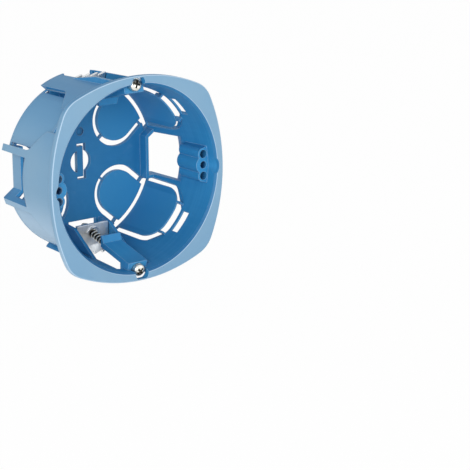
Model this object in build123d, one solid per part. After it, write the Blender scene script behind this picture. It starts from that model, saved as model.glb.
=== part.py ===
from build123d import *
import os
from math import cos, radians, sin, tan

# Round back box for a hollow wall, drawn as it sits in the wall.
# X is to the right seen from the room, Y runs into the wall and Z is up.
# The origin is the middle of the flange's back face, which lies on the board. All sizes are in millimetres.

# Tapered round body, which is as wide as the device's fixing screws need
fixing_pitch = 60.0
fixing_to_outside = 3.5
body_depth = 36.0
body_taper = 1.0
body_edge_round = 0.8
wall_front = 1.2
wall_rear = 2.4
floor_thickness = 1.5
lip_flare = 0.8
lip_depth = 0.9

# Flange on the face of the board
flange_overhang = 2.0
flange_thickness = 2.0
flange_side_radius = 62.1
flange_corner_radius = 9.9
flange_edge_round = 0.5
flange_rim = 0.6

# Fixing bosses at three and nine o'clock, each with three pilot holes and a groove for the screw's head
pilot_pitch = 3.9
pilot_bore = 2.6
outer_pilot_bore = 2.9
pilot_depth = 8.4
boss_front = 2.3
boss_length = 9.6
boss_middle_round = 3.1
boss_outer_round = 2.2
boss_root_half_height = 6.9
head_groove_radius = 3.9
head_groove_end_radius = 2.2

# Four break-out cable entries: a recess outside, a panel stepped in from the wall and a tongue in the floor,
# cut round by slots
entry_angle = 41.0
entry_length = 26.5
entry_half_width = 12.1
entry_front_half_width = 2.0
entry_slant_length = 9.3
entry_corner = 4.0
entry_skin = 0.7
recess_wall = 0.5
panel_wall = 0.5
bridge_width = 0.6
corner_bridge = 1.0
slot_front_rim = 1.4
slot_side_rim = 0.3
slot_corner = 8.5
slot_front_width = 1.9
slot_side_width = 1.6
slot_bridge_offset = 6.2
vent_lead = 3.1
vent_length = 3.2
vent_half_width = 4.1
vent_rim = 0.5
tongue_inset = 9.7
tongue_radius = 7.9
tongue_slot_width = 1.95
tongue_bridge_inset = 3.8
edge_slot_width = 1.3

# Side windows at three and nine o'clock, each a pocket in the rear corner with an upstand round it
window_length = 15.85
window_ramp_length = 7.5
window_half_height = 8.4
pocket_depth = 5.5
pocket_slant_start = 5.5
pocket_slant_height = 8.8
pocket_slant_inset = 0.8
upstand_height = 3.7
upstand_wall = 1.2

# Cable-tie bar in the middle of the floor
tie_hole_radius = 4.2
tie_bar_left = 1.5
tie_bar_right = 1.0
tie_slot_width = 1.1
tie_slot_half_height = 6.4
tie_bar_half_height = 5.5
gate_mark_radius = 1.5
gate_mark_depth = 0.6
gate_mark_height = 10.8

# Claw screws: pan heads in round notches at twelve and six o'clock, leaning towards the axis at the rear
screw_lean = 15.0
head_face_depth = -0.9
head_inset = 0.9
head_radius = 2.3
head_height = 2.2
head_round = 1.0
recess_length = 3.0
recess_width = 0.7
recess_depth = 1.3
recess_taper = 12.0
shank_radius = 1.5
shank_point = 0.8
shank_end_gap = 0.25
head_notch_clearance = 0.4
seat_clearance = 0.05
seat_hole_clearance = 0.2

# Guide that holds each screw: a seat block at the front and a gutter with a lipped end behind it
guide_half_width = 3.9
guide_cheek = 1.3
guide_cover = 2.75
guide_open_offset = 0.7
guide_channel_clearance = 0.3
guide_lip_height = 2.0
guide_lip_length = 1.6
guide_clearance = 0.84
seat_block_length = 4.4

# Bay in the wall that each claw travels in, with a gusset wall at each side and a rib along one edge
bay_half_width = 6.9
bay_front = 3.3
bay_inset = 3.1
bay_floor_half_width = 5.8
bay_floor_inset = 8.7
gusset_wall = 1.2
gusset_length = 19.6
gusset_front_inset = 1.5
gusset_flat = 6.6
gusset_rear_rise = 0.6
rib_rise = 0.7
rib_flat_length = 12.0
rib_length = 25.3
rib_root = 1.0

# Claws: folded steel plates, tapped for the screw, with a toothed outer edge
claw_stroke = 10.0
claw_clearance = 0.4
claw_thickness = 1.2
claw_to_floor = 6.7
claw_inner_rise = 0.1
claw_tip_inset = 0.1
claw_bend_length = 3.4
claw_fold_angle = 15.0
claw_fold_round = 1.0
tooth_count = 4
tooth_depth = 1.0
collar_wall = 0.9
collar_height = 1.0
thread_clearance = 0.05

# Places worked out from the sizes above
front = -flange_thickness
rear = body_depth
floor = rear - floor_thickness
through = 1.0
body_front_radius = fixing_pitch / 2 + fixing_to_outside
body_rear_radius = body_front_radius - body_taper
inner_front_radius = body_front_radius - wall_front
inner_rear_radius = body_rear_radius - wall_rear
flange_across = 2 * (body_front_radius + flange_overhang)
outside = flange_across
entry_front = rear - entry_length
slot_front = entry_front + slot_front_rim
slot_half_width = entry_half_width - slot_side_rim
panel_front = slot_front + slot_front_width
tongue_centre = inner_rear_radius - tongue_inset
window_front = rear - window_length
window_front_radius = body_front_radius - body_taper * window_front / body_depth
pocket_floor = body_rear_radius - pocket_depth
head_face_height = body_front_radius - head_inset
bay_floor_height = inner_rear_radius - bay_floor_inset
lean = radians(screw_lean)
seat_distance = head_height + seat_clearance
shank_length = (floor - head_face_depth) / cos(lean) - head_height - shank_end_gap
claw_face_depth = floor - claw_to_floor
claw_half_width = bay_half_width - claw_clearance
claw_tip_height = body_rear_radius - claw_tip_inset
guide_rear = claw_face_depth - claw_stroke * cos(lean) - guide_clearance


def slab(outline, front_depth, rear_depth):
    """Solid between two depths, from an outline drawn as seen from the room (x right, z up)."""
    return extrude(Plane.XZ.offset(-rear_depth) * outline, rear_depth - front_depth)


def side_slab(outline, inner, outer):
    """Solid that runs outwards at three o'clock, from an outline drawn as depth and height."""
    start = Plane(origin=(inner, 0, 0), x_dir=(0, 1, 0), z_dir=(1, 0, 0))
    return extrude(start * outline, outer - inner)


def upright_slab(outline, half_width):
    """Solid to both sides of the middle plane, from an outline drawn as depth and height."""
    return extrude(Plane.YZ * outline, half_width, both=True)


def turned(profile):
    """Solid turned about the box's axis, from a profile drawn as radius and depth."""
    return revolve(Polygon(*profile, align=None), Axis.Y)


def at_clock(shape, angle):
    """A feature drawn at three o'clock, turned up by an angle about the box's axis."""
    return Rot(0, -angle, 0) * shape


def both_sides(shape):
    """A feature and its copy half a turn round the box's axis."""
    return [shape, at_clock(shape, 180)]


def screw_height_at(depth):
    """Height of the upper screw's axis at a depth."""
    return head_face_height - tan(lean) * (depth - head_face_depth)


# Frame along the upper screw: local z runs rearwards from the middle of the head's face,
# local y runs towards the box's axis.
screw_frame = Plane(
    origin=(0, head_face_depth, head_face_height),
    x_dir=(1, 0, 0),
    z_dir=(0, cos(lean), -sin(lean)),
)


def along_screw(radius, start, length):
    """Round bar on the upper screw's axis, from a distance behind the head's face."""
    bar = Cylinder(radius, length, align=(Align.CENTER, Align.CENTER, Align.MIN))
    return screw_frame * (Pos(0, 0, start) * bar)


def flange_outline():
    """Square with four bowed sides and round corners."""
    reach = flange_side_radius - flange_across / 2
    outline = Rectangle(2 * flange_across, 2 * flange_across)
    for x, z in ((reach, 0), (-reach, 0), (0, reach), (0, -reach)):
        outline &= Pos(x, z) * Circle(flange_side_radius)
    return fillet(outline.vertices(), flange_corner_radius)


def flange():
    """Plate on the face of the board, its front edge softened."""
    plate = slab(flange_outline(), front, 0)
    return fillet(plate.faces().sort_by(Axis.Y)[0].edges(), flange_edge_round)


def body_solid():
    """Full tapered body, before it is hollowed."""
    blank = turned([(0, 0), (body_front_radius, 0), (body_rear_radius, rear), (0, rear)])
    return fillet(blank.edges().sort_by(Axis.Y)[-1], body_edge_round)


def cavity():
    """Space inside the box, with the lead-in at its mouth."""
    return turned([
        (0, front - through),
        (inner_front_radius + lip_flare, front - through),
        (inner_front_radius + lip_flare, front),
        (inner_front_radius, front + lip_depth),
        (inner_rear_radius, floor),
        (0, floor),
    ])


def fixing_boss():
    """Three-lobed boss at three o'clock, standing on the wall."""
    x = fixing_pitch / 2
    outline = Pos(x, 0) * Circle(boss_middle_round)
    for side in (-1, 1):
        outline += Pos(x, side * pilot_pitch) * Circle(boss_outer_round)
    root = Polygon(
        (x, -pilot_pitch - boss_outer_round),
        (inner_front_radius, -boss_root_half_height),
        (body_front_radius, -boss_root_half_height),
        (body_front_radius, boss_root_half_height),
        (inner_front_radius, boss_root_half_height),
        (x, pilot_pitch + boss_outer_round),
        align=None,
    )
    return slab(outline + root, boss_front, boss_front + boss_length) & body_solid()


def pilot_holes():
    """Blind pilot holes of one boss, and the tapered groove round the middle one's screw head."""
    x = fixing_pitch / 2
    holes = Pos(x, 0) * Circle(pilot_bore / 2)
    for side in (-1, 1):
        holes += Pos(x, side * pilot_pitch) * Circle(outer_pilot_bore / 2)
    groove = Cone(head_groove_radius, head_groove_end_radius, boss_front - front)
    groove_place = Pos(x, (front + boss_front) / 2, 0) * Rot(-90, 0, 0)
    return slab(holes, boss_front - through, boss_front + pilot_depth) + groove_place * groove


def arch(arch_front, arch_rear, half_width, corner):
    """Outline of a window that is square at the rear and rounded at its two front corners."""
    outline = Pos((arch_front + arch_rear) / 2, 0) * Rectangle(arch_rear - arch_front, 2 * half_width)
    return fillet(outline.vertices().group_by(Axis.X)[0], corner)


def entry_recess():
    """Cut that thins the wall at one entry from outside, slanted in front, with a tab for the vent."""
    lip = front + lip_depth
    thinned_wall = turned([
        (0, lip),
        (inner_front_radius + recess_wall, lip),
        (inner_rear_radius + recess_wall, floor),
        (inner_rear_radius + recess_wall, rear + through),
        (0, rear + through),
    ])
    slant_end = entry_front + entry_slant_length
    outline = Polygon(
        (entry_front, -entry_front_half_width),
        (slant_end, -entry_half_width),
        (rear + through, -entry_half_width),
        (rear + through, entry_half_width),
        (slant_end, entry_half_width),
        (entry_front, entry_front_half_width),
        align=None,
    )
    outline = fillet(outline.vertices().filter_by(lambda corner: corner.X < rear), entry_corner)
    tab_length = vent_lead + entry_slant_length
    tab = Rectangle(tab_length, 2 * (vent_half_width + vent_rim))
    outline += Pos(slant_end - tab_length / 2, 0) * tab
    return side_slab(outline, 0, outside) - thinned_wall


def panel_zone(outer_front, outer_rear):
    """Space from the entry panels' inner face out to a radius given at the body's front and rear."""
    return turned([(inner_rear_radius, 0), (outer_front, 0), (outer_rear, rear), (inner_rear_radius, rear)])


def entry_panel():
    """Curved panel of one entry, stepped in from the wall, and the two bridges that hold its front."""
    outline = arch(
        panel_front,
        floor,
        slot_half_width - slot_side_width,
        slot_corner - slot_side_width,
    )
    panel_outer = inner_rear_radius + panel_wall
    panel = side_slab(outline, tongue_centre, outside) & panel_zone(panel_outer, panel_outer)
    half_wall = recess_wall / 2
    bridge_zone = panel_zone(inner_front_radius + half_wall, inner_rear_radius + half_wall)
    for side in (-1, 1):
        bridge = Pos(panel_front, side * slot_bridge_offset) * Rectangle(2 * slot_front_width, bridge_width)
        panel += side_slab(bridge, tongue_centre, outside) & bridge_zone
    return panel


def entry_slots():
    """Cut round one entry's panel and tongue, with the bridges that break when the tongue is pushed out."""
    opening = arch(slot_front, floor - corner_bridge, slot_half_width, slot_corner)
    vent_middle = entry_front - vent_lead + vent_length / 2
    opening += Pos(vent_middle, 0) * Rectangle(vent_length, 2 * vent_half_width)
    slot_zone = panel_zone(body_front_radius - entry_skin, body_rear_radius - entry_skin)
    wall_cut = side_slab(opening, tongue_centre, outside) & slot_zone

    edge_radius = inner_rear_radius - edge_slot_width
    tongue_outer = tongue_radius + tongue_slot_width
    leg = edge_radius - tongue_centre
    centre = Pos(tongue_centre, 0)
    leg_middle = Pos(tongue_centre + leg / 2, 0)
    loop = centre * Circle(tongue_outer) + leg_middle * Rectangle(leg, 2 * tongue_outer)
    loop -= centre * Circle(tongue_radius) + leg_middle * Rectangle(leg, 2 * tongue_radius)
    loop -= Pos(tongue_centre - tongue_outer, 0) * Rectangle(2 * tongue_radius, bridge_width)
    side_bridges = Rectangle(bridge_width, 3 * tongue_outer)
    loop -= Pos(inner_rear_radius - tongue_bridge_inset, 0) * side_bridges
    edge = Circle(outside) - Circle(edge_radius)
    edge &= Pos(outside / 2, 0) * Rectangle(outside, 2 * entry_half_width)
    return wall_cut + slab(loop, floor - through, rear + through) + slab(edge, floor, rear + through)


def pocket_outline():
    """Outline of the pocket behind the window at three o'clock, slanted at its upper corner."""
    return Polygon(
        (pocket_floor, -window_half_height),
        (outside, -window_half_height),
        (outside, pocket_slant_height),
        (body_rear_radius - pocket_slant_inset, pocket_slant_height),
        (pocket_floor, pocket_slant_start),
        align=None,
    )


def window_upstand():
    """Low wall round the pocket, standing on the floor."""
    outline = offset(pocket_outline(), upstand_wall, kind=Kind.INTERSECTION)
    return slab(outline, floor - upstand_height, rear) & body_solid()


def window_cut():
    """Pocket and window at three o'clock, with the ramp that thins the wall in front of them."""
    ramp_front = window_front - window_ramp_length
    ramp = turned([
        (inner_rear_radius, ramp_front),
        (window_front_radius, window_front),
        (window_front_radius, window_front + through),
        (inner_rear_radius, window_front + through),
    ])
    pocket = slab(pocket_outline(), window_front, rear + through)
    return pocket + (slab(pocket_outline(), ramp_front, rear) & ramp)


def tie_bar_cut():
    """Round hole in the floor with the slots that leave a bar for a cable tie across it."""
    bar_width = tie_bar_left + tie_bar_right
    bar_middle = (tie_bar_right - tie_bar_left) / 2
    bar = Pos(bar_middle, 0) * Rectangle(bar_width, 2 * tie_bar_half_height)
    end_slots = Pos(bar_middle, 0) * Rectangle(bar_width, 2 * tie_slot_half_height)
    side_slot = Rectangle(tie_slot_width, 2 * tie_slot_half_height)
    side_slot = Pos(tie_bar_right + tie_slot_width / 2, 0) * side_slot
    return slab(Circle(tie_hole_radius) + end_slots + side_slot - bar, floor - through, rear + through)


def claw_bay():
    """Opening in the wall and notch in the floor that the upper claw works in."""
    bay_inner_height = inner_rear_radius - bay_inset
    wall_cut = Polygon(
        (bay_front, bay_inner_height), (floor, bay_inner_height), (floor, outside), (bay_front, outside),
        align=None,
    )
    floor_cut = Polygon(
        (floor - through, bay_floor_height), (rear + through, bay_floor_height),
        (rear + through, outside), (floor - through, outside),
        align=None,
    )
    return upright_slab(wall_cut, bay_half_width) + upright_slab(floor_cut, bay_floor_half_width)


def claw_gussets():
    """Three-cornered walls at both sides of the upper bay, from the wall to the floor."""
    profile = Polygon(
        (floor - gusset_length, body_rear_radius - gusset_front_inset),
        (floor - gusset_flat, bay_floor_height + gusset_rear_rise),
        (floor, bay_floor_height),
        (rear, bay_floor_height),
        (rear, body_rear_radius),
        (floor - gusset_length, body_rear_radius),
        align=None,
    )
    walls = upright_slab(profile, bay_half_width + gusset_wall) - upright_slab(profile, bay_half_width)
    return walls & body_solid()


def bay_rib():
    """Tapered rib outside the wall, along the left edge of the upper bay."""
    rib_foot = body_rear_radius - rib_root
    profile = Polygon(
        (0, rib_foot),
        (rib_length, rib_foot),
        (rib_length, rib_foot + rib_root / 2),
        (rib_flat_length, body_front_radius + rib_rise),
        (0, body_front_radius + rib_rise),
        align=None,
    )
    return Pos(-bay_half_width - gusset_wall / 2, 0, 0) * upright_slab(profile, gusset_wall / 2)


def screw_guide():
    """Seat block and gutter of the upper screw, still without its holes."""
    seat_depth = head_face_depth + seat_distance * cos(lean)
    seat_height = head_face_height - seat_distance * sin(lean)
    face_inner = seat_depth - guide_cover * cos(lean) * sin(lean)
    face_outer = seat_depth + (body_front_radius - seat_height) * tan(lean)
    block_rear = seat_depth + seat_block_length
    lip_front = guide_rear - guide_lip_length
    end_height = screw_height_at(guide_rear)
    profile = Polygon(
        (face_inner, screw_height_at(face_inner) - guide_cover),
        (lip_front, screw_height_at(lip_front) - guide_cover),
        (guide_rear - guide_lip_length / 2, end_height - guide_cover - guide_lip_height),
        (guide_rear, end_height - guide_cover - guide_lip_height),
        (guide_rear, end_height - guide_open_offset),
        (block_rear, screw_height_at(block_rear) - guide_open_offset),
        (block_rear, body_front_radius),
        (face_outer, body_front_radius),
        align=None,
    )
    channel_cover = shank_radius + guide_channel_clearance
    channel_rear = guide_rear + through
    channel = Polygon(
        (block_rear, screw_height_at(block_rear) - channel_cover),
        (channel_rear, screw_height_at(channel_rear) - channel_cover),
        (channel_rear, head_face_height),
        (block_rear, head_face_height),
        align=None,
    )
    guide = upright_slab(profile, guide_half_width) - upright_slab(channel, guide_half_width - guide_cheek)
    return guide & body_solid()


def screw_way():
    """Notch for the upper screw's head, inside the flange's rim, and the hole for its shank."""
    before_head = flange_thickness + through
    notch = along_screw(head_radius + head_notch_clearance, -before_head, before_head + seat_distance)
    inside_rim = slab(offset(flange_outline(), -flange_rim), front - through, rear)
    hole = along_screw(shank_radius + seat_hole_clearance, 0, seat_distance + seat_block_length + through)
    return (notch & inside_rim) + hole


def box():
    """The whole moulding."""
    moulding = flange() + body_solid() - cavity()
    for boss in both_sides(fixing_boss()):
        moulding += boss
    for upstand in both_sides(window_upstand()):
        moulding += upstand
    for angle in (entry_angle, 180 - entry_angle, 180 + entry_angle, -entry_angle):
        moulding -= at_clock(entry_recess(), angle)
        moulding -= at_clock(entry_slots(), angle)
        moulding += at_clock(entry_panel(), angle)
    for bay in both_sides(claw_bay()):
        moulding -= bay
    for station in both_sides(claw_gussets() + screw_guide()) + both_sides(bay_rib()):
        moulding += station
    for way in both_sides(screw_way()):
        moulding -= way
    for cut in both_sides(window_cut()) + both_sides(pilot_holes()):
        moulding -= cut
    gate_mark = slab(Pos(0, gate_mark_height) * Circle(gate_mark_radius), floor, floor + gate_mark_depth)
    return moulding - tie_bar_cut() - gate_mark


def claw_screw():
    """Upper screw: pan head with a cross recess, and a shank with a blunt point."""
    head = Cylinder(head_radius, head_height, align=(Align.CENTER, Align.CENTER, Align.MIN))
    head = fillet(head.edges().sort_by(Axis.Z)[0], head_round)
    for length, width in ((recess_length, recess_width), (recess_width, recess_length)):
        head -= extrude(Rectangle(length, width), recess_depth, taper=recess_taper)
    shank = Cylinder(shank_radius, shank_length, align=(Align.CENTER, Align.CENTER, Align.MIN))
    shank = chamfer(shank.edges().sort_by(Axis.Z)[-1], shank_point)
    return screw_frame * (head + Pos(0, 0, head_height) * shank)


def claw():
    """Upper claw: plate across the bay, its outer edge folded forwards and cut into saw teeth."""
    inner_height = bay_floor_height + claw_inner_rise
    fold_height = claw_tip_height - claw_bend_length
    forward = tan(radians(claw_fold_angle)) * claw_bend_length
    rear_face = claw_face_depth + claw_thickness
    profile = Polygon(
        (claw_face_depth, inner_height),
        (claw_face_depth, fold_height),
        (claw_face_depth - forward, claw_tip_height),
        (rear_face - forward, claw_tip_height),
        (rear_face, fold_height),
        (rear_face, inner_height),
        align=None,
    )
    folds = profile.vertices().filter_by(lambda corner: abs(corner.Y - fold_height) < claw_thickness / 2)
    plate = upright_slab(fillet(folds, claw_fold_round), claw_half_width)
    tooth_pitch = 2 * claw_half_width / tooth_count
    for tooth in range(tooth_count):
        left = tooth * tooth_pitch - claw_half_width
        notch = Polygon(
            (left, claw_tip_height - tooth_depth),
            (left + tooth_pitch, claw_tip_height),
            (left, claw_tip_height),
            align=None,
        )
        plate -= slab(notch, claw_face_depth - forward - through, rear_face)
    bore = shank_radius + thread_clearance
    to_claw = (claw_face_depth - head_face_depth) / cos(lean)
    collar = along_screw(bore + collar_wall, to_claw, claw_thickness + collar_height)
    return plate + collar - along_screw(bore, 0, shank_length)


nodes = {
    "box": box(),
    "claw_screw_top": claw_screw(),
    "claw_screw_bottom": at_clock(claw_screw(), 180),
    "claw_top": claw(),
    "claw_bottom": at_clock(claw(), 180),
}
os.makedirs("parts", exist_ok=True)
for name, shape in nodes.items():
    export_step(shape, f"parts/{name}.step")
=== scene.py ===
from math import cos, pi, radians, sin

import bmesh
import bpy
from mathutils import Matrix, Vector


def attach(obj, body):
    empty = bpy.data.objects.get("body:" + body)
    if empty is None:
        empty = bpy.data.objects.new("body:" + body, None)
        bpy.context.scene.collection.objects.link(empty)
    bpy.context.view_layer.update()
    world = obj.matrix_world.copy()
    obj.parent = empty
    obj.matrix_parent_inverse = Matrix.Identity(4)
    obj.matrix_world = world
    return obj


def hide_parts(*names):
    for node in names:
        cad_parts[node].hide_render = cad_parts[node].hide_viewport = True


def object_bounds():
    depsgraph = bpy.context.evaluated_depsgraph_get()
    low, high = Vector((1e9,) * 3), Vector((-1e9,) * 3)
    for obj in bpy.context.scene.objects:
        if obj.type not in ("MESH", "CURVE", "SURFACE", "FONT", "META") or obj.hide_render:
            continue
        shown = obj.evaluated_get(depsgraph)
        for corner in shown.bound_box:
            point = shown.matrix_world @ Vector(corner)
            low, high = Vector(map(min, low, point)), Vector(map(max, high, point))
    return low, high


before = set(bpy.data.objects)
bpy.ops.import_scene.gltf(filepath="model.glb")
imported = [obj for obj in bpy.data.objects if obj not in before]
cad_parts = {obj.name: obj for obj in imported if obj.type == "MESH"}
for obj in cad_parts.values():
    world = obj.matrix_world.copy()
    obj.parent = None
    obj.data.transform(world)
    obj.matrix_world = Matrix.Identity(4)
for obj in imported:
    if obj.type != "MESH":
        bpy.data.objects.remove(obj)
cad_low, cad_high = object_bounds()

# Box: the blue moulding with its flange, bosses, break-out entries and claw bays.
# Satin thermoplastic from one mould, with soft edges and a fine spark-eroded grain, and painted sheen,
# shade and edge highlights in its colour.
# The CAD solid gives its shape; the copy here is welded, so that round walls shade smoothly.


class Signal:
    """One socket of a node tree, for plain arithmetic and for adding further nodes."""

    def __init__(self, tree, socket=None):
        self.tree = tree
        self.socket = socket

    def node(self, kind, settings, inputs, output=0):
        """Adds a node: its settings first, then its values and links; gives one of its outputs."""
        added = self.tree.nodes.new(kind)
        for name, value in settings.items():
            setattr(added, name, value)
        for key, value in inputs.items():
            if isinstance(value, Signal):
                self.tree.links.new(value.socket, added.inputs[key])
            else:
                added.inputs[key].default_value = value
        return Signal(self.tree, added.outputs[output])

    def math(self, operation, *values):
        return self.node("ShaderNodeMath", {"operation": operation}, dict(enumerate(values)))

    def __add__(self, other):
        return self.math("ADD", self, other)

    def __radd__(self, other):
        return self.math("ADD", other, self)

    def __sub__(self, other):
        return self.math("SUBTRACT", self, other)

    def __rsub__(self, other):
        return self.math("SUBTRACT", other, self)

    def __mul__(self, other):
        return self.math("MULTIPLY", self, other)

    def __rmul__(self, other):
        return self.math("MULTIPLY", other, self)

    def at_least(self, other):
        return self.math("MAXIMUM", self, other)

    def at_most(self, other):
        return self.math("MINIMUM", self, other)

    def ramp(self, none, full):
        """0 at one value and before it, 1 at the other and past it, and a smooth step between."""
        settings = {"interpolation_type": "SMOOTHSTEP"}
        return self.node("ShaderNodeMapRange", settings, {0: self, 1: none, 2: full})

    def noise(self, scale, detail):
        return self.node("ShaderNodeTexNoise", {}, {"Vector": self, "Scale": scale, "Detail": detail})

    def vector(self, operation, *others, output=0):
        """Vector maths on this vector and others; a length or a product comes out as Value."""
        inputs = dict(enumerate((self, *others)))
        return self.node("ShaderNodeVectorMath", {"operation": operation}, inputs, output)

    def stretched(self, x, y, z):
        return self.vector("MULTIPLY", (x, y, z))

    def mixed(self, first, second):
        """Colour between two others, with this signal as the share of the second."""
        settings = {"data_type": "RGBA", "clamp_factor": True}
        return self.node("ShaderNodeMix", settings, {0: self, 6: first, 7: second}, 2)

    def along(self, axis):
        """One part of a vector: X, Y or Z."""
        return self.node("ShaderNodeSeparateXYZ", {}, {0: self}, axis)

    def bump(self, strength, distance, normal):
        inputs = {"Strength": strength, "Distance": distance, "Height": self, "Normal": normal}
        return self.node("ShaderNodeBump", {}, inputs)

    def into(self, shader, name):
        self.tree.links.new(self.socket, shader.inputs[name])


def new_material(name):
    """A material, its shader node, its object coordinates and an empty signal to start others from."""
    material = bpy.data.materials.new(name)
    material.use_nodes = True
    tree = material.node_tree
    start = Signal(tree)
    coordinates = start.node("ShaderNodeTexCoord", {}, {}, "Object")
    return material, tree.nodes["Principled BSDF"], coordinates, start


def surface_normal(start):
    return start.node("ShaderNodeNewGeometry", {}, {}, "Normal")


def rounded_edges(start, radius):
    """Normal that rounds the edges by a radius, and how much of an edge each point is, from 0 to 1."""
    normal = start.node("ShaderNodeBevel", {"samples": 8}, {"Radius": radius})
    likeness = normal.vector("DOT_PRODUCT", surface_normal(start), output="Value")
    return normal, (1 - likeness).ramp(0.01, 0.16)


def crevices(start, reach):
    """How hidden each point is by what stands within a distance of it, from 0 to 1."""
    return 1 - start.node("ShaderNodeAmbientOcclusion", {"samples": 8}, {"Distance": reach}, "AO")


def placed(name, data):
    """An object of the scene, from its mesh, lamp or camera."""
    added = bpy.data.objects.new(name, data)
    bpy.context.scene.collection.objects.link(added)
    return added


def soften(build, sharp_angle):
    """Smooth shading, apart from edges that turn by more than an angle in degrees."""
    for face in build.faces:
        face.smooth = True
    for edge in build.edges:
        edge.smooth = len(edge.link_faces) == 2 and edge.calc_face_angle() < radians(sharp_angle)


def welded_copy(node, name, sharp_angle):
    """A copy of a CAD node with its triangles joined, smooth apart from its sharp edges."""
    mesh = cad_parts[node].data.copy()
    mesh.transform(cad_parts[node].matrix_world)
    mesh.materials.clear()
    build = bmesh.new()
    build.from_mesh(mesh)
    bmesh.ops.remove_doubles(build, verts=build.verts, dist=0.000002)
    soften(build, sharp_angle)
    build.to_mesh(mesh)
    build.free()
    return placed(name, mesh)


# Plain tones, a lighter tone for painted light through thin panels, a matt tone with painted sheen, a
# pale tone for painted highlights and scratches, and a dark tone for painted shade
plastic_smooth = (0.022, 0.222, 0.485, 1)
plastic_cloud = (0.036, 0.262, 0.535, 1)
plastic_lit_through = (0.042, 0.285, 0.57, 1)
plastic_matt_sheen = (0.222, 0.387, 0.545, 1)
plastic_highlight_and_scratch = (0.43, 0.60, 0.76, 1)
plastic_shade = (0.006, 0.034, 0.135, 1)
plastic_gloss = 0.32
edge_softness = 0.00035
crevice_reach = 0.003

# Where each part of the moulding starts to show and where it is full, in depth or distance
flange_fade = (0.0, -0.001)
flange_back_fade = (0.0005, 0.0002)
base_back_fade = (0.0352, 0.0355)
rim_fade = (-0.0010, -0.0013)
lip_fade = (-0.0008, -0.0011)
lip_edge_fade = (-0.0018, -0.0019)
panel_fade = (0.012, 0.013)
tongue_depth_fade = (0.0335, 0.0345)
tongue_side_fade = (0.0083, 0.0077)
base_fade = (0.0340, 0.0344)
inner_wall_fade = (0.027, 0.030)
mouth_wall_fade = (0.0290, 0.0305)
mouth_depth_fade = (0.022, 0.012)
gate_outer_fade = (0.0021, 0.0014)
gate_inner_fade = (0.0003, 0.001)
gate_mark = (0, 0.0351, 0.0108)
entry_angle = radians(41)
tongue_centre = 0.0204

# The fixing bosses, and how much further they run along the wall
boss_rear = 0.0119
boss_tail = 0.0017
boss_side = 0.0265
boss_half_height = 0.0072
same_depth = 0.00001

plastic, shader, place, start = new_material("blue_moulding")
edge_normal, edge = rounded_edges(start, edge_softness)
normal = surface_normal(start)
backwards = normal.along("Y")
upwards = normal.along("Z")
depth = place.along("Y")
spoke = place.stretched(1, 0, 1)
radius = spoke.vector("LENGTH", output="Value")
outwards = spoke.vector("NORMALIZE").vector("DOT_PRODUCT", normal, output="Value")

# The outside, the flange's face and, less so, the back faces have the matt finish and a pale painted
# sheen
flange = depth.ramp(*flange_fade) * backwards.ramp(-0.74, -0.9)
backs = (depth.ramp(*flange_back_fade) + depth.ramp(*base_back_fade)) * backwards.ramp(0.6, 0.9)
outside = outwards.ramp(0.2, 0.7).at_least(flange).at_least(0.5 * backs)
# Painted shade: upward outer faces get less of the sheen, so they are darker
outside = outside * (1 - 0.64 * upwards.ramp(0.2, 0.95))

# Painted highlights on the slanted rim of the flange and along the edge of the mouth's flared lip
slope = outwards * backwards
lip = slope.ramp(0.25, 0.4) * depth.ramp(*lip_fade)
rim_highlights = slope.ramp(-0.25, -0.48) * depth.ramp(*rim_fade) + lip * depth.ramp(*lip_edge_fade)

# Thin panels and tongues of the four entries, painted lighter for the light that comes through them
fold = place.vector("ABSOLUTE")
across = fold.along("X") * sin(entry_angle) - fold.along("Z") * cos(entry_angle)
inwards = fold.along("X") * cos(entry_angle) + fold.along("Z") * sin(entry_angle) - tongue_centre
inwards = inwards.at_most(0.0)
from_middle = across * across + inwards * inwards
thin = from_middle.math("SQRT", from_middle).ramp(*tongue_side_fade)
thin = thin * depth.ramp(*panel_fade) * (0.75 + 0.25 * depth.ramp(*tongue_depth_fade))

# Marks of the mould: flow, draw lines, grain, rings near the mouth, handling scratches and the gate
flow = place.noise(45, 3).ramp(0.3, 0.7)
drawn = place.stretched(420, 18, 420).noise(1, 3).ramp(0.35, 0.75)
grain = place.noise(3500, 2)
turned = place.stretched(18, 1500, 18).noise(1, 2).ramp(0.42, 0.62)
turned = turned * radius.ramp(*mouth_wall_fade) * depth.ramp(*mouth_depth_fade)
scratches = place.stretched(260, 1900, 260).noise(1, 3).ramp(0.62, 0.8)
from_gate = place.vector("DISTANCE", gate_mark, output="Value")
gate_ring = from_gate.ramp(*gate_outer_fade) * 0.3 * from_gate.ramp(*gate_inner_fade)
# Painted shade in crevices, from how near other surfaces stand, and a darker ring round the gate mark
hidden = crevices(start, crevice_reach).ramp(0.5, 0.76).at_least(gate_ring)

# Colour, from the smooth inside to the matt outside with its painted sheen, with painted shade in
# crevices and painted highlights on the edges
# Painted shade: the lower inner wall, the base and the mouth's flared lip are made darker
low_wall = upwards.ramp(0.1, 0.9) * radius.ramp(*inner_wall_fade)
base = depth.ramp(*base_fade) * (1 - thin)
colour = (0.5 * flow + 0.35 * drawn + 0.55 * turned).mixed(plastic_smooth, plastic_cloud)
colour = thin.mixed(colour, plastic_lit_through)
colour = (0.22 * low_wall + 0.12 * base + 0.32 * lip).mixed(colour, plastic_shade)
colour = (outside * (0.86 + 0.14 * flow)).mixed(colour, plastic_matt_sheen)
colour = (hidden * 0.9).mixed(colour, plastic_shade)
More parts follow.
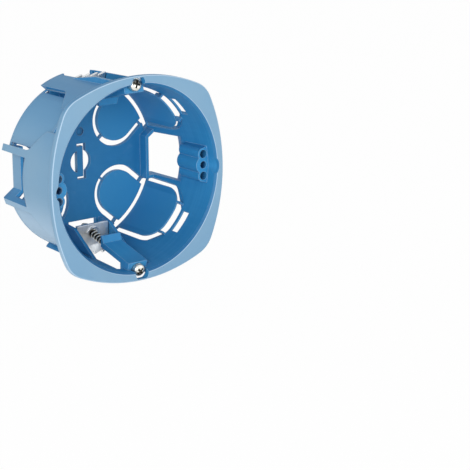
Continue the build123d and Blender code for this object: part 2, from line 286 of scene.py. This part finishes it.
# Painted highlights on the edges, rims and downward outer faces, with faint handling scratches
highlights_and_scratches = edge * (0.42 + 0.35 * outside) + outside * upwards.ramp(-0.02, -0.6) + scratches * 0.04
highlights_and_scratches.at_least(rim_highlights).mixed(colour, plastic_highlight_and_scratch).into(shader, "Base Color")
shader.inputs["Specular IOR Level"].default_value = plastic_gloss
(0.42 + 0.1 * outside + 0.06 * flow + 0.08 * grain).into(shader, "Roughness")
grain.bump(0.12, 0.00003, edge_normal).into(shader, "Normal")

box = welded_copy("box", "box_moulding", 28)
for corner in box.data.vertices:
    by_boss = abs(corner.co.x) > boss_side and abs(corner.co.z) < boss_half_height
    if by_boss and abs(corner.co.y - boss_rear) < same_depth:
        corner.co.y += boss_tail
box.data.materials.append(plastic)
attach(box, "back_box")
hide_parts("box")

# Claw screws: plated steel with a pan head, a cross recess and a coarse thread down to the point.
# Each drops into its notch in the flange and turns in its seat in the box.
# Head and core are turned shapes, the recess is cut out and the thread is a ridge wound round the core.

screw_lean = radians(15)
head_face = Vector((0, -0.0009, 0.0326))
head_radius = 0.0023
head_height = 0.0022
head_profile = [
    (0, 0), (0.0009, 0.00002), (0.0013, 0.00007), (0.00175, 0.00024), (0.00206, 0.00054),
    (0.00223, 0.0009), (head_radius, 0.0013), (head_radius, 0.00205), (0.0022, head_height),
    (0, head_height),
]
recess_reach = 0.0017
recess_half_width = 0.00044
recess_depth = 0.0013
recess_floor_share = 0.72
shank_length = 0.0342
shank_overlap = 0.0002
neck_radius = 0.0015
neck_length = 0.0016
neck_taper_end = 0.0022
core_radius = 0.00118
point_radius = 0.0007
point_length = 0.0009
thread_start = 0.0024
thread_end_gap = 0.001
thread_radius = 0.00121
thread_ridge = 0.00029
thread_pitch = 0.0016


def lathe(build, profile, steps):
    """Turned closed shape about z, from points of radius and height that start and end on the axis."""
    rings = []
    for radius, height in profile:
        count = steps if radius > 0 else 1
        ring = [
            build.verts.new((radius * cos(2 * pi * i / steps), radius * sin(2 * pi * i / steps), height))
            for i in range(count)
        ]
        rings.append(ring)
    for ring, following in zip(rings, rings[1:]):
        for i in range(steps):
            corners = [ring[i % len(ring)], ring[(i + 1) % len(ring)]]
            corners += [following[(i + 1) % len(following)], following[i % len(following)]]
            build.faces.new(list(dict.fromkeys(corners)))
    bmesh.ops.recalc_face_normals(build, faces=build.faces)


def mesh_from(build, name):
    mesh = bpy.data.meshes.new(name)
    build.to_mesh(mesh)
    build.free()
    return mesh


def plain_mesh(source):
    """Mesh of an object with its modifiers, after which the object goes."""
    bpy.context.view_layer.update()
    graph = bpy.context.evaluated_depsgraph_get()
    mesh = bpy.data.meshes.new_from_object(source.evaluated_get(graph))
    bpy.data.objects.remove(source)
    return mesh


def recessed_head():
    """Domed head from its face at height 0 to its seat, with the cross cut into it."""
    build = bmesh.new()
    lathe(build, head_profile, 64)
    head = placed("head", mesh_from(build, "head"))
    build = bmesh.new()
    arm_size = Matrix.Diagonal((recess_reach, recess_half_width, recess_depth, 1))
    for turn in (0, pi / 2):
        bmesh.ops.create_cube(build, size=2, matrix=Matrix.Rotation(turn, 4, "Z") @ arm_size)
    for corner in build.verts:
        if corner.co.z > 0:
            corner.co.x *= recess_floor_share
            corner.co.y *= recess_floor_share
    cutter = placed("cutter", mesh_from(build, "cutter"))
    cut = head.modifiers.new("recess", "BOOLEAN")
    cut.operation = "DIFFERENCE"
    cut.solver = "EXACT"
    cut.use_self = True
    cut.object = cutter
    mesh = plain_mesh(head)
    bpy.data.objects.remove(cutter)
    return mesh


def thread_nodes(material):
    """Geometry nodes that wind a ridge along z, and their inputs by name."""
    tree = bpy.data.node_groups.new("screw_thread", "GeometryNodeTree")
    sockets = {}
    for name in ("Turns", "Length", "Radius", "Ridge"):
        sockets[name] = tree.interface.new_socket(name, in_out="INPUT", socket_type="NodeSocketFloat")
    tree.interface.new_socket("Geometry", in_out="OUTPUT", socket_type="NodeSocketGeometry")
    given = tree.nodes.new("NodeGroupInput")
    spiral = tree.nodes.new("GeometryNodeCurveSpiral")
    spiral.inputs["Resolution"].default_value = 32
    tree.links.new(given.outputs["Turns"], spiral.inputs["Rotations"])
    tree.links.new(given.outputs["Length"], spiral.inputs["Height"])
    tree.links.new(given.outputs["Radius"], spiral.inputs["Start Radius"])
    tree.links.new(given.outputs["Radius"], spiral.inputs["End Radius"])
    upright = tree.nodes.new("GeometryNodeSetCurveNormal")
    upright.mode = "Z_UP"
    tree.links.new(spiral.outputs["Curve"], upright.inputs["Curve"])
    profile = tree.nodes.new("GeometryNodeCurvePrimitiveCircle")
    profile.inputs["Resolution"].default_value = 8
    tree.links.new(given.outputs["Ridge"], profile.inputs["Radius"])
    sweep = tree.nodes.new("GeometryNodeCurveToMesh")
    sweep.inputs["Fill Caps"].default_value = True
    tree.links.new(upright.outputs["Curve"], sweep.inputs["Curve"])
    tree.links.new(profile.outputs["Curve"], sweep.inputs["Profile Curve"])
    real = tree.nodes.new("GeometryNodeRealizeInstances")
    tree.links.new(sweep.outputs["Mesh"], real.inputs["Geometry"])
    paint = tree.nodes.new("GeometryNodeSetMaterial")
    paint.inputs["Material"].default_value = material
    tree.links.new(real.outputs["Geometry"], paint.inputs["Geometry"])
    result = tree.nodes.new("NodeGroupOutput")
    tree.links.new(paint.outputs["Geometry"], result.inputs["Geometry"])
    return tree, sockets


def wound_thread(material):
    """Ridge of the thread, from just behind the head to just before the point."""
    length = shank_length - thread_start - thread_end_gap
    tree, sockets = thread_nodes(material)
    holder = placed("thread", bpy.data.meshes.new("thread"))
    wind = holder.modifiers.new("wind", "NODES")
    wind.node_group = tree
    wind[sockets["Turns"].identifier] = length / thread_pitch
    wind[sockets["Length"].identifier] = length
    wind[sockets["Radius"].identifier] = thread_radius
    wind[sockets["Ridge"].identifier] = thread_ridge
    mesh = plain_mesh(holder)
    mesh.transform(Matrix.Translation((0, 0, head_height + thread_start)))
    return mesh


def claw_screw(name, half_turn, recess_turn, material):
    """A whole screw in its place: at the top, or half a turn round the box's axis."""
    top = head_height - shank_overlap
    end = head_height + shank_length
    build = bmesh.new()
    lathe(build, [
        (0, top), (neck_radius, top), (neck_radius, head_height + neck_length),
        (core_radius, head_height + neck_taper_end), (core_radius, end - point_length),
        (point_radius, end), (0, end),
    ], 32)
    for part in (recessed_head(), wound_thread(material)):
        build.from_mesh(part)
    soften(build, 32)
    seat = Matrix.Translation(head_face) @ Matrix.Rotation(-pi / 2 - screw_lean, 4, "X")
    seat = seat @ Matrix.Rotation(recess_turn, 4, "Z")
    bmesh.ops.transform(build, matrix=Matrix.Rotation(half_turn, 4, "Y") @ seat, verts=build.verts)
    mesh = mesh_from(build, name)
    mesh.materials.append(material)
    return placed(name, mesh)


zinc_bright = (0.86, 0.86, 0.80, 1)
zinc_warm = (0.70, 0.68, 0.58, 1)
# Dark tones for painted shade in crevices, the cross recess and the thread's root
zinc_shade = (0.07, 0.075, 0.07, 1)
thread_root_shade = (0.012, 0.012, 0.012, 1)
screw_axis = (0, cos(screw_lean), -sin(screw_lean))

# Distance from the screw's axis, or down it, at which each place of painted shade starts and is full
root_fade = (0.00143, 0.00127)
root_start_fade = (head_height, head_height + 0.001)
recess_side_fade = (recess_reach + 0.0001, recess_reach - 0.0001)
recess_mouth_fade = (0.00025, 0.00045)
recess_floor_fade = (recess_depth + 0.0005, recess_depth + 0.0003)

zinc, shader, place, start = new_material("bright_zinc")
edge_normal = rounded_edges(start, 0.00012)[0]
cloud = place.noise(700, 3).ramp(0.35, 0.7)
fine = place.noise(6000, 2)
# Painted shade in crevices and in the cross recess
crevice_shade = crevices(start, 0.0007).ramp(0.3, 0.8)
arm = place.vector("ABSOLUTE").vector("SUBTRACT", head_face)
down = arm.vector("DOT_PRODUCT", screw_axis, output="Value")
off_axis = arm.vector("CROSS_PRODUCT", screw_axis).vector("LENGTH", output="Value")
# Painted shade along the root of the thread
root = off_axis.ramp(*root_fade) * down.ramp(*root_start_fade)
recess = off_axis.ramp(*recess_side_fade) * down.ramp(*recess_mouth_fade) * down.ramp(*recess_floor_fade)
crevice_shade = (crevice_shade * 0.75).at_least(recess * 0.9)
colour = cloud.mixed(zinc_bright, zinc_warm)
colour = crevice_shade.mixed(colour, zinc_shade)
(root * 0.95).mixed(colour, thread_root_shade).into(shader, "Base Color")
shader.inputs["Metallic"].default_value = 1
(0.2 + 0.12 * cloud + 0.08 * fine + 0.2 * crevice_shade + 0.2 * root).into(shader, "Roughness")
fine.bump(0.1, 0.00002, edge_normal).into(shader, "Normal")

for name, node, body, half_turn, recess_turn in (
    ("screw_upper", "claw_screw_top", "upper_screw", 0, 0.35),
    ("screw_lower", "claw_screw_bottom", "lower_screw", pi, pi / 4),
):
    screw = claw_screw(name, half_turn, recess_turn, zinc)
    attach(screw, body)
    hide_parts(node)

# Claws: folded plates of zinc-plated sheet steel with saw teeth along the outer edge.
# Each is tapped for its screw and sits across its bay, so it can't turn with the screw.
# The CAD solids give their shape; the sheet shows rolling marks, painted highlights along its edges and
# painted shade in its crevices.

# Plain grey, a dull grey that also gives painted shade, and a pale tone for painted highlights on edges
claw_grey = (0.75, 0.78, 0.79, 1)
claw_dull_and_shade = (0.30, 0.31, 0.32, 1)
claw_edge_highlight = (0.90, 0.89, 0.87, 1)

sheet, shader, place, start = new_material("plated_sheet")
edge_normal, edge = rounded_edges(start, 0.00025)
blotch = place.noise(220, 3).ramp(0.38, 0.66)
rolled = place.stretched(1500, 1500, 190).noise(1, 3).ramp(0.4, 0.68)
# Painted shade in crevices
crevice_shade = crevices(start, 0.001).ramp(0.45, 0.9)
colour = (0.25 * blotch + 0.15 * rolled).mixed(claw_grey, claw_dull_and_shade)
colour = (crevice_shade * 0.6).mixed(colour, claw_dull_and_shade)
# Painted highlight along the edges
(edge * 0.9).mixed(colour, claw_edge_highlight).into(shader, "Base Color")
shader.inputs["Metallic"].default_value = 1
(0.32 + 0.07 * blotch + 0.05 * rolled).into(shader, "Roughness")
blotch.bump(0.03, 0.00003, edge_normal).into(shader, "Normal")

for name, node, body in (
    ("claw_upper", "claw_top", "upper_claw"),
    ("claw_lower", "claw_bottom", "lower_claw"),
):
    claw = welded_copy(node, name, 25)
    claw.data.materials.append(sheet)
    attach(claw, body)
    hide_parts(node)

# Floor: a wide pale sheet just under the flange, with a white backdrop all round.
# Both are white to the camera and in reflections, and the floor keeps a soft shadow.

floor_gap = 0.0004
floor_half_size = 6
floor_pale = (0.96, 0.96, 0.96, 1)
pure_white = (1, 1, 1, 1)
white_share = 0.97
studio_level = 0.6


def seen_rays(start):
    """Above 0 for what is seen straight, in a reflection or through a clear piece, and 0 for light."""
    seen = start.node("ShaderNodeLightPath", {}, {}, "Is Camera Ray")
    seen += start.node("ShaderNodeLightPath", {}, {}, "Is Glossy Ray")
    seen += start.node("ShaderNodeLightPath", {}, {}, "Is Transmission Ray")
    return seen


build = bmesh.new()
bmesh.ops.create_grid(build, x_segments=1, y_segments=1, size=floor_half_size)
ground = placed("ground", mesh_from(build, "ground"))
ground.location.z = cad_low[2] - floor_gap
paper = bpy.data.materials.new("paper")
paper.use_nodes = True
start = Signal(paper.node_tree)
diffuse = start.node("ShaderNodeBsdfDiffuse", {}, {"Color": floor_pale})
white = start.node("ShaderNodeEmission", {}, {"Color": pure_white, "Strength": 1.0})
share = seen_rays(start).at_most(white_share)
both = start.node("ShaderNodeMixShader", {}, {0: share, 1: diffuse, 2: white})
both.into(paper.node_tree.nodes["Material Output"], "Surface")
ground.data.materials.append(paper)

world = bpy.data.worlds.new("studio")
world.use_nodes = True
bpy.context.scene.world = world
backdrop = world.node_tree.nodes["Background"]
seen = seen_rays(Signal(world.node_tree))
level = seen.node("ShaderNodeMapRange", {}, {0: seen, 1: 0.0, 2: 1.0, 3: studio_level, 4: 1.0})
level.into(backdrop, "Strength")
backdrop.inputs["Color"].default_value = pure_white

# Lamps: two large square soft lamps, aimed at the middle of the box.
# The key stands at the front left, and the weaker fill at the front right.

lamp_size = 0.8
lamp_aim = Vector((0, 0.015, 0))

for name, spot, power in (
    ("key", Vector((-0.92, -0.95, 0.25)), 11.0),
    ("fill", Vector((0.60, -1.00, 0.10)), 3.0),
):
    lamp = bpy.data.lights.new(name, "AREA")
    lamp.size = lamp_size
    lamp.energy = power
    stand = placed(name, lamp)
    stand.location = spot
    stand.rotation_euler = (lamp_aim - spot).to_track_quat("-Z", "Y").to_euler()

# Camera: a long lens at the front left, a little above the middle of the box.
# Its place, turn and focal length were fitted to points measured on the front of the box.

lens = bpy.data.cameras.new("camera")
lens.sensor_width = 36
lens.lens = 135.505
lens.clip_start = 0.01
camera = placed("camera", lens)
camera.location = (-0.33689, -0.47773, 0.13842)
camera.rotation_euler = (radians(74.818), radians(0.289), radians(-38.507))
bpy.context.scene.camera = camera
bpy.context.scene.view_settings.view_transform = "Standard"
